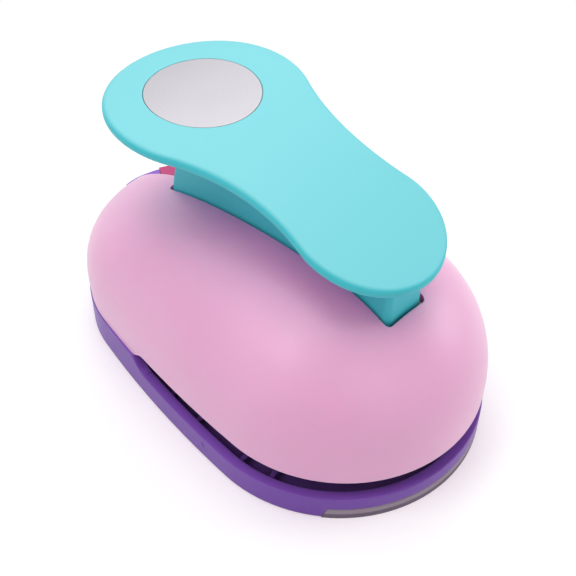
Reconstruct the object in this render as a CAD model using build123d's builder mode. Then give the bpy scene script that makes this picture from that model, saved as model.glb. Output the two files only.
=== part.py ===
from build123d import *
from math import asin, cos, radians, sin, sqrt
import os

# Lever shape punch for paper: a palm lever drives a round punch through a die plate.
# Frame: +Z up, the base stands on Z = 0, the paper mouth is at -Y and the palm pad at +Y.
# All lengths are in millimetres and all angles in degrees.

# Body outline, an egg of tangent arcs with its blunt end at the mouth
BODY_LENGTH = 135.0
FRONT_RADIUS = 41.3
REAR_RADIUS = 36.0
SIDE_RADIUS = 350.0

# Top cover
COVER_WALL = 2.4
COVER_EQUATOR = 18.8
DOME_RISE = 37.6
DOME_POWER = 2.12
SKIRT_TUCK = 0.1
SKIRT_SPARE = 1.9
MOUTH_EDGE = 15.2
STEP_BEHIND_THROAT = 6.2
STEP_LENGTH = 8.0
SLOT_WIDTH = 14.8
SLOT_BEHIND_PIVOT = 5.3
SLOT_PAST_REAR_ARC = 5.3
SLOT_CORNER = 1.6
DOME_STEPS = (0.0, 14.0, 28.0, 42.0, 55.0, 66.0, 75.0, 82.0)

# Base shell and bottom cover
BASE_LIP = 0.1
BASE_FLARE = 1.3
BASE_WALL = 3.0
RECESS_WALL = 1.5
RECESS_DEPTH = 2.4
FLOOR = 2.0
FRONT_RIM = 8.2
REAR_RIM = 11.7
RIM_SLOPE_DROP = 0.2
BASE_EDGE_ROUND = 0.5
RIB_THICK = 1.4
RIB_PITCH = 15.0
RIB_COUNT = 2
SIDE_RIB_OFFSETS = (18.6, 31.0)
SEAT_WALL = 3.0
LIP_HEIGHT = 4.0
LIP_HALF_WIDTH = 33.5
LIP_END_SLANT = 1.0
LIP_WALL = 2.2
LIP_CHAMFER = 0.4
COVER_GAP = 0.2
CHIP_CLEARANCE = 1.6

# Die set: die plate, throat spacer and guide plate
PUNCH_FIT = 0.06
LUG_ROOM = 3.3
DIE_SEAT_HEIGHT = 2.0
DIE_THICK = 3.0
DIE_INSET = 8.0
DIE_RELIEF = 0.8
DIE_LAND = 1.4
PAPER_GAP = 3.0
GUIDE_THICK = 2.4
PLATE_GAP = 1.3
COLLAR_WALL = 2.2
COLLAR_HEIGHT = 5.0
COLLAR_FRONT = 16.0
THROAT_MARGIN = 8.8
PLATE_REAR_GAP = 1.5
SPACER_SIDE = 5.0

# Punch, pressure bar and return springs
PUNCH_LIFT = 0.2
PUNCH_HEIGHT = 15.4
PUNCH_HOLLOW = 3.4
PUNCH_HOLLOW_DEPTH = 2.0
BAR_THICK = 3.0
BAR_WIDTH = 18.0
SPRING_GAP = 0.4
LUG_RADIUS = 4.2
POST_RADIUS = 1.6
POST_FIT = 0.08
CAP_RADIUS = 3.4
CAP_THICK = 1.2
CAP_GAP = 0.1
POST_TAIL = 0.6
WIRE_RADIUS = 0.5
SPRING_RADIUS = 2.9
SPRING_TURNS = 5

# Lever
LEVER_SWING = 11.0
PIVOT_AHEAD = 1.4
PIN_RADIUS = 2.5
PIN_FIT = 0.06
LUG_ROUND = 4.6
PLATE_THICK = 3.1
PLATE_ARC = 235.0
PLATE_APEX_OFFSET = 0.4
PLATE_APEX_Z = 82.0
PLATE_EDGE_ROUND = 1.3
PAD_OFFSET = 6.3
PAD_RADIUS = 28.4
NOSE_OFFSET = 5.9
NOSE_RADIUS = 20.2
WAIST_RADIUS = 62.9
DISC_OFFSET = 2.2
DISC_RADIUS = 16.0
DISC_THICK = 1.0
DISC_GAP = 0.15
WEB_GAP = 0.55
WEB_END_GAP = 0.95
WEB_WALL = 2.4
WEB_DROP = 1.7
WEB_CORNER = 1.9
EDGE_TOLERANCE = 0.01
NECK_RISE = 10.0
CAVITY_BEHIND_PIVOT = 12.0
ROLLER_RADIUS = 4.3
ROLLER_GAP = 0.2
ROLLER_SIDE_GAP = 0.3
AXLE_RADIUS = 2.0
AXLE_FIT = 0.06

# Pivot bracket
EAR_GAP = 0.35
EAR_THICK = 2.5
EAR_ROUND = 4.4
EAR_FRONT = 4.4
BRACKET_CLEARANCE = 0.5
BRACKET_FLOOR = 2.0
BRACKET_SIDE_GAP = 2.1
PIN_HEAD_RADIUS = 3.6
PIN_HEAD = 1.2
PIN_TAIL = 1.6
CLIP_RADIUS = 4.0
CLIP_THICK = 0.8

# Storage lock at the rear
POCKET_LEFT = -1.2
POCKET_RIGHT = 22.4
POCKET_BRIDGE = 3.2
HOUSING_HEIGHT = 16.8
DECK_THICK = 2.0
DECK_TAPER = 1.2
DECK_TAPER_LENGTH = 6.0
HOUSING_FLANGE = 2.4
HOUSING_FLANGE_INSET = 20.0
HOUSING_ROUND = 1.0
WINDOW_GAP = 0.4
LOCK_ANGLE = 26.4
LOCK_TRAVEL = 5.0
BOLT_HEIGHT = 3.0
BOLT_WIDTH = 4.0
BOLT_TIP = 2.5
BOLT_FIT = 0.2
BUTTON_WIDTH = 6.8
BUTTON_HEIGHT = 7.5
BUTTON_RISE = 0.1
BUTTON_DEPTH = 9.0
BUTTON_PROUD = 0.3
BUTTON_ROUND = 0.8
RAIL_WALL = 1.6
TUNNEL_TIP = 8.6
KEEPER_GAP = 1.0

# Fasteners
SCREW_RADIUS = 1.5
SCREW_FIT = 0.05
SCREW_HEAD_RADIUS = 2.8
SCREW_HEAD = 1.6
HEAD_CLEARANCE = 0.3
SOCKET_RADIUS = 1.3
SOCKET_DEPTH = 0.8
BOSS_RADIUS = 4.0
BOSS_HOLE_EXTRA = 0.6
POST_FLOOR = 2.6
FRAME_SCREW_SIDE = 7.0
FRAME_SCREW_PITCH = 12.0
FRONT_SCREW_SIDE = 15.3
FRONT_SCREW_AHEAD = 21.8
REAR_SCREW_SIDE = 9.0
REAR_SCREW_BACK = 6.5
HOUSING_SCREW_SIDES = (4.6, 4.8)
HOUSING_SCREW_INSETS = (9.5, 14.5)
BOTTOM_SCREW_SIDE = 9.3
BOTTOM_SCREW_BACK = 24.2
BOTTOM_SCREW_REAR = 15.5
BRACKET_SCREW_EDGE = 3.4
BRACKET_SCREW_AHEAD = 2.0
BAR_SCREW_INSET = 10.4
SCREW_END_GAP = 1.4
BRACKET_SCREW_END_GAP = 0.8
COVER_SCREW_LENGTH = 13.0
HOUSING_SCREW_LENGTH = 13.0
BOTTOM_SCREW_LENGTH = 3.2
BAR_SCREW_LENGTH = 8.0

# Worked out from the sizes above
FRONT_Y = FRONT_RADIUS - BODY_LENGTH / 2
REAR_Y = BODY_LENGTH / 2 - REAR_RADIUS
SPRING_X = FRONT_RADIUS - COVER_WALL - LUG_ROOM - LUG_RADIUS
PUNCH_RADIUS = SPRING_X - SPRING_RADIUS - WIRE_RADIUS - SPRING_GAP - COLLAR_WALL
PUNCH_Y = FRONT_Y
SKIRT_BOTTOM = REAR_RIM - SKIRT_SPARE
FLOOR_TOP = RECESS_DEPTH + FLOOR
DIE_SEAT = FLOOR_TOP + DIE_SEAT_HEIGHT
DIE_TOP = DIE_SEAT + DIE_THICK
GUIDE_BOTTOM = DIE_TOP + PAPER_GAP
GUIDE_TOP = GUIDE_BOTTOM + GUIDE_THICK
GUIDE_INSET = COVER_WALL + SKIRT_TUCK + PLATE_GAP
THROAT_FRONT = PUNCH_Y + PUNCH_RADIUS + THROAT_MARGIN
PLATE_REAR = REAR_Y - PLATE_REAR_GAP
SPACER_DEPTH = PLATE_REAR - THROAT_FRONT
SPACER_HALF_WIDTH = REAR_RADIUS - SPACER_SIDE
STEP_FRONT = THROAT_FRONT + STEP_BEHIND_THROAT
STEP_REAR = STEP_FRONT + STEP_LENGTH
PUNCH_BOTTOM = GUIDE_BOTTOM + PUNCH_LIFT
PUNCH_TOP = PUNCH_BOTTOM + PUNCH_HEIGHT
BAR_TOP = PUNCH_TOP + BAR_THICK
BASE_INNER = BASE_WALL - BASE_LIP
RECESS_INSET = RECESS_WALL - BASE_LIP
CHIP_RADIUS = PUNCH_RADIUS + CHIP_CLEARANCE
PIVOT_Y = PUNCH_Y - PUNCH_RADIUS - PIVOT_AHEAD
PIVOT_Z = BAR_TOP + ROLLER_RADIUS + ROLLER_GAP
SLOT_FRONT = PIVOT_Y + SLOT_BEHIND_PIVOT
SLOT_REAR = REAR_Y + SLOT_PAST_REAR_ARC
PLATE_APEX_Y = REAR_Y + PLATE_APEX_OFFSET
PLATE_CENTRE_Z = PLATE_APEX_Z - PLATE_ARC
PAD_Y = REAR_Y - PAD_OFFSET
NOSE_Y = PUNCH_Y - NOSE_OFFSET
DISC_Y = PAD_Y + DISC_OFFSET
WEB_WIDTH = SLOT_WIDTH - 2 * WEB_GAP
WEB_FRONT = SLOT_FRONT + WEB_END_GAP
WEB_ARC = SLOT_REAR - WEB_END_GAP - PIVOT_Y
WEB_BOTTOM = PIVOT_Z - WEB_DROP
NECK_Z = PIVOT_Z + NECK_RISE
CAVITY_FRONT = PIVOT_Y + CAVITY_BEHIND_PIVOT
EAR_INNER = WEB_WIDTH / 2 + EAR_GAP
EAR_OUTER = EAR_INNER + EAR_THICK
BRACKET_REAR = PUNCH_Y - PUNCH_RADIUS - BRACKET_CLEARANCE
FRONT_SCREW_X = FRONT_RADIUS - FRONT_SCREW_SIDE
BRACKET_HALF_WIDTH = FRONT_SCREW_X - BOSS_RADIUS - BRACKET_SIDE_GAP
FAR = 2 * BODY_LENGTH
POCKET_FRONT = SLOT_REAR + POCKET_BRIDGE
HOUSING_TOP = REAR_RIM + HOUSING_HEIGHT
BOLT_Z = HOUSING_TOP + BUTTON_RISE - BUTTON_HEIGHT
BOLT_CENTRE_Z = BOLT_Z + BOLT_HEIGHT / 2
KEEPER_Y = PIVOT_Y + sqrt(WEB_ARC**2 - (BOLT_CENTRE_Z - PIVOT_Z) ** 2)
LOCK_DIRECTION = Vector(sin(radians(LOCK_ANGLE)), cos(radians(LOCK_ANGLE)), 0)
LOCK_PLANE = Plane((0, KEEPER_Y, 0), x_dir=LOCK_DIRECTION, z_dir=(0, 0, 1))
WALL_OFFSET = (KEEPER_Y - REAR_Y) * LOCK_DIRECTION.X
WALL_REACH = sqrt((REAR_RADIUS + BASE_LIP) ** 2 - WALL_OFFSET**2) - (KEEPER_Y - REAR_Y) * LOCK_DIRECTION.Y
BUTTON_INNER = WALL_REACH - BASE_WALL - BUTTON_DEPTH
TUNNEL_END = BUTTON_INNER - LOCK_TRAVEL - BOLT_FIT
FRAME_SCREW_LENGTH = GUIDE_TOP - RECESS_DEPTH - SCREW_END_GAP
BRACKET_SCREW_LENGTH = BRACKET_FLOOR + GUIDE_THICK - BRACKET_SCREW_END_GAP
HOLE_RADIUS = SCREW_RADIUS + SCREW_FIT
HEAD_HOLE_RADIUS = SCREW_HEAD_RADIUS + HEAD_CLEARANCE
POST_SEAT = RECESS_DEPTH + POST_FLOOR


def pair(x, y):
    """The two points at x to the left and right of the middle, level with y."""
    return ((-x, y), (x, y))


PUNCH_POINT = ((0, PUNCH_Y),)
DISC_POINT = ((0, DISC_Y),)
POST_POINTS = pair(SPRING_X, PUNCH_Y)
BAR_POINTS = pair(PUNCH_RADIUS - BAR_SCREW_INSET, PUNCH_Y)
BRACKET_SCREW_X = BRACKET_HALF_WIDTH - BRACKET_SCREW_EDGE
BRACKET_POINTS = pair(BRACKET_SCREW_X, PIVOT_Y - BRACKET_SCREW_AHEAD)
FRAME_SCREW_X = SPACER_HALF_WIDTH - FRAME_SCREW_SIDE
FRAME_SCREW_Y = (THROAT_FRONT + PLATE_REAR) / 2
FRAME_POINTS = pair(FRAME_SCREW_X, FRAME_SCREW_Y) + pair(FRAME_SCREW_X - FRAME_SCREW_PITCH, FRAME_SCREW_Y)
COVER_FRONT_POINTS = pair(FRONT_SCREW_X, PUNCH_Y - FRONT_SCREW_AHEAD)
COVER_REAR_POINTS = pair(REAR_RADIUS - REAR_SCREW_SIDE, REAR_Y + REAR_SCREW_BACK)
HOUSING_POINTS = (
    (POCKET_LEFT + HOUSING_SCREW_SIDES[0], REAR_Y + REAR_RADIUS - HOUSING_SCREW_INSETS[0]),
    (POCKET_RIGHT - HOUSING_SCREW_SIDES[1], REAR_Y + REAR_RADIUS - HOUSING_SCREW_INSETS[1]),
)
BOTTOM_SIDE_POINTS = pair(FRONT_RADIUS - BOTTOM_SCREW_SIDE, PUNCH_Y + BOTTOM_SCREW_BACK)
BOTTOM_POINTS = BOTTOM_SIDE_POINTS + ((0, REAR_Y + BOTTOM_SCREW_REAR),)
POST_SCREW_POINTS = COVER_REAR_POINTS + HOUSING_POINTS
BOTTOM = (Align.CENTER, Align.CENTER, Align.MIN)
TOP = (Align.CENTER, Align.CENTER, Align.MAX)
CORNER = (Align.MIN, Align.MIN, Align.MIN)
FRONT_EDGE = (Align.CENTER, Align.MIN, Align.MIN)


def egg(inset=0.0, scale=1.0, flare=0.0):
    """Body outline, its front arc wider by flare, moved in by inset and scaled about that arc's centre."""
    front_y = FRONT_Y + flare
    front = (FRONT_RADIUS + flare - inset) * scale
    rear = (REAR_RADIUS - inset) * scale
    side = (SIDE_RADIUS - inset) * scale
    span = (REAR_Y - front_y) * scale
    along = ((side - front) ** 2 - (side - rear) ** 2 + span**2) / (2 * span)
    across = sqrt((side - front) ** 2 - along**2)
    side_centre = Vector(-across, front_y + along)
    front_centre = Vector(0, front_y)
    rear_centre = Vector(0, front_y + span)
    front_end = front_centre + (front_centre - side_centre).normalized() * front
    rear_end = rear_centre + (rear_centre - side_centre).normalized() * rear
    side_mid = side_centre + ((front_end + rear_end) / 2 - side_centre).normalized() * side
    with BuildSketch(mode=Mode.PRIVATE) as outline:
        with BuildLine():
            ThreePointArc((-front_end.X, front_end.Y), (0, front_y - front), front_end)
            ThreePointArc(front_end, side_mid, rear_end)
            ThreePointArc(rear_end, rear_centre + Vector(0, rear), (-rear_end.X, rear_end.Y))
            mirror_mid = (-side_mid.X, side_mid.Y)
            ThreePointArc((-rear_end.X, rear_end.Y), mirror_mid, (-front_end.X, front_end.Y))
        make_face()
    return outline.sketch


def egg_block(inset, bottom, top, flare=0.0):
    """Straight-walled block of the body outline."""
    with BuildPart(mode=Mode.PRIVATE) as block:
        with BuildSketch(Plane.XY.offset(bottom)):
            add(egg(inset, flare=flare))
        extrude(amount=top - bottom)
    return block.part


def base_block(inset, bottom, top):
    """Straight-walled block of the base's outline, which is wider than the cover at its blunt end."""
    return egg_block(inset, bottom, top, BASE_FLARE)


def dome(inset):
    """Solid dome of the cover, moved in by inset."""
    rise = DOME_RISE - inset
    with BuildPart(mode=Mode.PRIVATE) as body:
        with BuildSketch(Plane.XY.offset(SKIRT_BOTTOM)):
            add(egg(inset + SKIRT_TUCK))
        for step in DOME_STEPS:
            shrink = cos(radians(step)) ** (2 / DOME_POWER)
            height = rise * sin(radians(step)) ** (2 / DOME_POWER)
            with BuildSketch(Plane.XY.offset(COVER_EQUATOR + height)):
                add(egg(inset, shrink))
        loft()
    return body.part


def side_cut(front_level, rear_level, far_level):
    """Block across the body out to far_level, whose edge steps between the other two in a soft S."""
    with BuildPart(mode=Mode.PRIVATE) as block:
        with BuildSketch(Plane.YZ):
            with BuildLine():
                start = (STEP_FRONT, front_level)
                end = (STEP_REAR, rear_level)
                middle = STEP_FRONT + STEP_LENGTH / 2
                Bezier(start, (middle, front_level), (middle, rear_level), end)
                front_corners = ((-FAR, front_level), (-FAR, far_level))
                Polyline(start, *front_corners, (FAR, far_level), (FAR, rear_level), end)
            make_face()
        extrude(amount=FAR, both=True)
    return block.part


def columns(points, bottom, top, radius):
    """Upright round columns at the given points."""
    with BuildPart(mode=Mode.PRIVATE) as group:
        with Locations(*[(x, y, bottom) for x, y in points]):
            Cylinder(radius, top - bottom, align=BOTTOM)
    return group.part


def screws(points, seat, length, turn=0.0):
    """Socket screws whose heads sit on the level seat, turned over for a head that faces down."""
    with BuildPart(mode=Mode.PRIVATE) as group:
        seats = [Location((x, y, seat), (turn, 0, 0)) for x, y in points]
        with Locations(*seats):
            Cylinder(SCREW_HEAD_RADIUS, SCREW_HEAD, align=BOTTOM)
            Cylinder(SCREW_RADIUS, length, align=TOP)
        with Locations(*[place * Pos(0, 0, SCREW_HEAD) for place in seats]):
            Cylinder(SOCKET_RADIUS, SOCKET_DEPTH, align=TOP, mode=Mode.SUBTRACT)
    return group.part


def coil(seat, height, radius, wire, turns):
    """Round wire wound upright on its seat, with its ends inside the given height."""
    rise = height - 2 * wire
    with BuildPart(mode=Mode.PRIVATE) as spring:
        with BuildLine() as path:
            Helix(rise / turns, rise, radius, center=seat + Vector(0, 0, wire))
        with BuildSketch(path.line ^ 0):
            Circle(wire)
        sweep()
    return spring.part


def arched_slab(thickness):
    """Slab across the body that follows the arched top of the lever, thickness deep from the top."""
    with BuildPart(mode=Mode.PRIVATE) as slab:
        with BuildSketch(Plane.YZ):
            with Locations((PLATE_APEX_Y, PLATE_CENTRE_Z)):
                Circle(PLATE_ARC)
                Circle(PLATE_ARC - thickness, mode=Mode.SUBTRACT)
            with Locations((PLATE_APEX_Y, PLATE_APEX_Z)):
                Rectangle(BODY_LENGTH * 2, PLATE_ARC, mode=Mode.INTERSECT)
        extrude(amount=FRONT_RADIUS, both=True)
    return slab.part


def pad_outline():
    """Bone-shaped plan of the lever: palm pad, waist and nose as tangent arcs."""
    span = PAD_Y - NOSE_Y
    pad_reach = PAD_RADIUS + WAIST_RADIUS
    nose_reach = NOSE_RADIUS + WAIST_RADIUS
    along = (pad_reach**2 - nose_reach**2 + span**2) / (2 * span)
    across = sqrt(pad_reach**2 - along**2)
    waist = Vector(across, PAD_Y - along)
    pad_centre = Vector(0, PAD_Y)
    nose_centre = Vector(0, NOSE_Y)
    pad_end = pad_centre + (waist - pad_centre).normalized() * PAD_RADIUS
    nose_end = nose_centre + (waist - nose_centre).normalized() * NOSE_RADIUS
    waist_mid = waist - ((waist - (pad_end + nose_end) / 2).normalized() * WAIST_RADIUS)
    with BuildSketch(mode=Mode.PRIVATE) as outline:
        with BuildLine():
            ThreePointArc((-pad_end.X, pad_end.Y), pad_centre + Vector(0, PAD_RADIUS), pad_end)
            ThreePointArc(pad_end, waist_mid, nose_end)
            ThreePointArc(nose_end, nose_centre - Vector(0, NOSE_RADIUS), (-nose_end.X, nose_end.Y))
            mirror_mid = (-waist_mid.X, waist_mid.Y)
            ThreePointArc((-nose_end.X, nose_end.Y), mirror_mid, (-pad_end.X, pad_end.Y))
        make_face()
    return outline.sketch


def lip_wedge(gap):
    """Front wedge with slanted ends that the grey lip fills, made smaller all round by gap."""
    foot = LIP_HALF_WIDTH - gap
    head = foot - LIP_END_SLANT
    top = LIP_HEIGHT - gap
    with BuildPart(mode=Mode.PRIVATE) as wedge:
        with BuildSketch(Plane.XZ):
            with BuildLine():
                Polyline((-foot, 0), (foot, 0), (head, top), (-head, top), close=True)
            make_face()
        extrude(amount=BODY_LENGTH)
    return wedge.part


def plate_blank(inset, bottom, thickness):
    """Flat plate of the body outline, cut off square behind the die set."""
    with BuildPart(mode=Mode.PRIVATE) as blank:
        add(egg_block(inset, bottom, bottom + thickness))
        with Locations((0, PLATE_REAR, bottom)):
            Box(FAR, FAR, thickness, align=FRONT_EDGE, mode=Mode.SUBTRACT)
    return blank.part


# Cutter that slopes the rim inward round the mouth
with BuildPart() as rim_slope:
    with BuildSketch(Plane.XY.offset(FRONT_RIM - RIM_SLOPE_DROP)):
        add(egg(BASE_INNER, flare=BASE_FLARE))
    with BuildSketch(Plane.XY.offset(FRONT_RIM)):
        add(egg(0, flare=BASE_FLARE))
    loft()
    split(bisect_by=Plane.XZ.offset(-STEP_FRONT), keep=Keep.TOP)

# Die seat ring, ribs and screw posts inside the base
with BuildPart() as supports:
    add(columns(PUNCH_POINT, FLOOR_TOP, DIE_SEAT, CHIP_RADIUS + SEAT_WALL))
    rib_height = DIE_SEAT - FLOOR_TOP
    rib_turn = RIB_PITCH * (RIB_COUNT - 1)
    with Locations((0, PUNCH_Y, FLOOR_TOP)):
        with PolarLocations(0, RIB_COUNT, start_angle=180, angular_range=rib_turn, endpoint=True):
            Box(FRONT_RADIUS, RIB_THICK, rib_height, align=(Align.MIN, Align.CENTER, Align.MIN))
        with PolarLocations(0, RIB_COUNT, start_angle=-rib_turn, angular_range=rib_turn, endpoint=True):
            Box(FRONT_RADIUS, RIB_THICK, rib_height, align=(Align.MIN, Align.CENTER, Align.MIN))
    with Locations(*[(0, PUNCH_Y + offset, FLOOR_TOP) for offset in SIDE_RIB_OFFSETS]):
        Box(2 * FRONT_RADIUS, RIB_THICK, rib_height, align=BOTTOM)
    add(columns(FRAME_POINTS + BOTTOM_POINTS, FLOOR_TOP, DIE_SEAT, BOSS_RADIUS))
    add(columns(POST_SCREW_POINTS, FLOOR_TOP, REAR_RIM, BOSS_RADIUS))
    add(base_block(BASE_INNER, FLOOR_TOP, REAR_RIM), mode=Mode.INTERSECT)

# Notch at the front of the base for the lip of the bottom cover
with BuildPart() as lip_notch:
    add(lip_wedge(0))
    add(base_block(LIP_WALL - BASE_LIP, 0, LIP_HEIGHT), mode=Mode.SUBTRACT)

# Base shell: tray with a sloped rim, die seat, ribs and screw posts
with BuildPart() as base_shell:
    add(base_block(-BASE_LIP, 0, REAR_RIM))
    chamfer(base_shell.faces().sort_by(Axis.Z)[0].edges(), BASE_EDGE_ROUND)
    add(base_block(BASE_INNER, FLOOR_TOP, REAR_RIM), mode=Mode.SUBTRACT)
    add(base_block(RECESS_INSET, 0, RECESS_DEPTH), mode=Mode.SUBTRACT)
    add(side_cut(FRONT_RIM, REAR_RIM, FAR), mode=Mode.SUBTRACT)
    add(rim_slope.part, mode=Mode.SUBTRACT)
    add(supports.part)
    add(columns(PUNCH_POINT, 0, DIE_SEAT, CHIP_RADIUS), mode=Mode.SUBTRACT)
    add(columns(FRAME_POINTS, RECESS_DEPTH, DIE_SEAT, HOLE_RADIUS), mode=Mode.SUBTRACT)
    add(columns(POST_SCREW_POINTS, 0, REAR_RIM, HOLE_RADIUS), mode=Mode.SUBTRACT)
    add(columns(POST_SCREW_POINTS, 0, POST_SEAT, HEAD_HOLE_RADIUS), mode=Mode.SUBTRACT)
    add(columns(BOTTOM_POINTS, 0, RECESS_DEPTH + BOTTOM_SCREW_LENGTH, HOLE_RADIUS), mode=Mode.SUBTRACT)
    add(lip_notch.part, mode=Mode.SUBTRACT)

# Lip of the bottom cover, chamfered along its top
with BuildPart() as lip:
    add(base_block(-BASE_LIP, 0, LIP_HEIGHT - COVER_GAP))
    chamfer(lip.faces().sort_by(Axis.Z)[-1].edges(), LIP_CHAMFER)
    add(lip_wedge(COVER_GAP), mode=Mode.INTERSECT)
    add(base_block(LIP_WALL - BASE_LIP - COVER_GAP, 0, LIP_HEIGHT), mode=Mode.SUBTRACT)

# Bottom cover: grey plate in the recess, with the front lip that fills the notch
with BuildPart() as bottom_cover:
    add(base_block(RECESS_INSET + COVER_GAP, 0, RECESS_DEPTH))
    add(lip.part)
    add(columns(PUNCH_POINT, 0, RECESS_DEPTH, CHIP_RADIUS), mode=Mode.SUBTRACT)
    add(columns(BOTTOM_POINTS, 0, RECESS_DEPTH, HOLE_RADIUS), mode=Mode.SUBTRACT)
    add(columns(BOTTOM_POINTS, 0, SCREW_HEAD + COVER_GAP, HEAD_HOLE_RADIUS), mode=Mode.SUBTRACT)

bottom_screws = screws(BOTTOM_POINTS, SCREW_HEAD + COVER_GAP, BOTTOM_SCREW_LENGTH, turn=180)

# Die plate: cutting hole with a straight land and relief below it
with BuildPart() as die_plate:
    add(plate_blank(DIE_INSET, DIE_SEAT, DIE_THICK))
    add(columns(PUNCH_POINT, DIE_SEAT, DIE_TOP, PUNCH_RADIUS + PUNCH_FIT), mode=Mode.SUBTRACT)
    relief_radius = PUNCH_RADIUS + DIE_RELIEF
    add(columns(PUNCH_POINT, DIE_SEAT, DIE_TOP - DIE_LAND, relief_radius), mode=Mode.SUBTRACT)
    add(columns(FRAME_POINTS, DIE_SEAT, DIE_TOP, HOLE_RADIUS), mode=Mode.SUBTRACT)

# Throat spacer: keeps the paper gap and stops the sheet
with BuildPart() as throat_spacer:
    with Locations((0, THROAT_FRONT, DIE_TOP)):
        Box(2 * SPACER_HALF_WIDTH, SPACER_DEPTH, PAPER_GAP, align=FRONT_EDGE)
    add(columns(FRAME_POINTS, DIE_TOP, GUIDE_BOTTOM, HOLE_RADIUS), mode=Mode.SUBTRACT)

# Guide plate: upper plate with a drawn collar round the punch
with BuildPart() as guide_plate:
    add(plate_blank(GUIDE_INSET, GUIDE_BOTTOM, GUIDE_THICK))
    collar_radius = PUNCH_RADIUS + COLLAR_WALL
    add(columns(PUNCH_POINT, GUIDE_TOP, GUIDE_TOP + COLLAR_HEIGHT, collar_radius))
    with Locations((0, PUNCH_Y - COLLAR_FRONT, GUIDE_TOP)):
        Box(FAR, FAR, COLLAR_HEIGHT, align=(Align.CENTER, Align.MAX, Align.MIN), mode=Mode.SUBTRACT)
    bore_top = GUIDE_TOP + COLLAR_HEIGHT
    add(columns(PUNCH_POINT, GUIDE_BOTTOM, bore_top, PUNCH_RADIUS + PUNCH_FIT), mode=Mode.SUBTRACT)
    plate_holes = FRAME_POINTS + COVER_FRONT_POINTS + BRACKET_POINTS
    add(columns(plate_holes, GUIDE_BOTTOM, GUIDE_TOP, HOLE_RADIUS), mode=Mode.SUBTRACT)
    front_seat = GUIDE_BOTTOM + SCREW_HEAD
    add(columns(COVER_FRONT_POINTS, GUIDE_BOTTOM, front_seat, HEAD_HOLE_RADIUS), mode=Mode.SUBTRACT)
    add(columns(POST_POINTS, GUIDE_BOTTOM, GUIDE_TOP, POST_RADIUS + SCREW_FIT), mode=Mode.SUBTRACT)

frame_screws = screws(FRAME_POINTS, GUIDE_TOP, FRAME_SCREW_LENGTH)

# Punch: round block with a hollow face, so that its rim cuts
with BuildPart() as punch_block:
    add(columns(PUNCH_POINT, PUNCH_BOTTOM, PUNCH_TOP, PUNCH_RADIUS))
    hollow_top = PUNCH_BOTTOM + PUNCH_HOLLOW_DEPTH
    add(columns(PUNCH_POINT, PUNCH_BOTTOM, hollow_top, PUNCH_RADIUS - PUNCH_HOLLOW), mode=Mode.SUBTRACT)
    bar_hole_bottom = PUNCH_TOP - BAR_SCREW_LENGTH
    add(columns(BAR_POINTS, bar_hole_bottom, PUNCH_TOP, HOLE_RADIUS), mode=Mode.SUBTRACT)

# Pressure bar: carries the roller's push to the punch and the springs' lift at its lugs
with BuildPart() as pressure_bar:
    with Locations((0, PUNCH_Y, PUNCH_TOP)):
        Box(2 * (PUNCH_RADIUS - BAR_SCREW_INSET) + BAR_WIDTH, BAR_WIDTH, BAR_THICK, align=BOTTOM)
        Box(2 * SPRING_X, 2 * LUG_RADIUS, BAR_THICK, align=BOTTOM)
    add(columns(POST_POINTS, PUNCH_TOP, BAR_TOP, LUG_RADIUS))
    add(columns(POST_POINTS, PUNCH_TOP, BAR_TOP, POST_RADIUS + POST_FIT), mode=Mode.SUBTRACT)
    add(columns(BAR_POINTS, PUNCH_TOP, BAR_TOP, HOLE_RADIUS), mode=Mode.SUBTRACT)

bar_screws = screws(BAR_POINTS, BAR_TOP, BAR_SCREW_LENGTH)

# Spring posts stand in the guide plate and end in a cap that stops the lugs
cap_bottom = BAR_TOP + CAP_GAP
spring_posts = columns(POST_POINTS, GUIDE_BOTTOM, cap_bottom + CAP_THICK + POST_TAIL, POST_RADIUS)
with BuildPart() as post_caps:
    cap_top = cap_bottom + CAP_THICK
    add(columns(POST_POINTS, cap_bottom, cap_top, CAP_RADIUS))
    add(columns(POST_POINTS, cap_bottom, cap_top, POST_RADIUS + SCREW_FIT), mode=Mode.SUBTRACT)

# Return springs: round wire wound about the posts
with BuildPart() as return_springs:
    for x, y in POST_POINTS:
        seat = Vector(x, y, GUIDE_TOP)
        add(coil(seat, PUNCH_TOP - GUIDE_TOP, SPRING_RADIUS, WIRE_RADIUS, SPRING_TURNS))

# Pivot bracket: two ears in front of the punch
with BuildPart() as pivot_bracket:
    with BuildSketch(Plane.YZ.offset(EAR_INNER)):
        with Locations((PIVOT_Y, PIVOT_Z)):
            Circle(EAR_ROUND)
        with BuildLine():
            ear_front = PIVOT_Y - EAR_FRONT
            foot = (BRACKET_REAR, GUIDE_TOP)
            shoulder = (BRACKET_REAR, PIVOT_Z)
            Polyline((ear_front, GUIDE_TOP), foot, shoulder, (ear_front, PIVOT_Z), close=True)
        make_face()
        with Locations((PIVOT_Y, PIVOT_Z)):
            Circle(PIN_RADIUS + PIN_FIT, mode=Mode.SUBTRACT)
    extrude(amount=EAR_THICK)
    mirror(about=Plane.YZ)
    with Locations((0, ear_front, GUIDE_TOP)):
        floor_depth = BRACKET_REAR - ear_front
        Box(2 * BRACKET_HALF_WIDTH, floor_depth, BRACKET_FLOOR, align=FRONT_EDGE)
    bracket_top = GUIDE_TOP + BRACKET_FLOOR
    add(columns(BRACKET_POINTS, GUIDE_TOP, bracket_top, HOLE_RADIUS), mode=Mode.SUBTRACT)

bracket_screws = screws(BRACKET_POINTS, bracket_top, BRACKET_SCREW_LENGTH)

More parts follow.
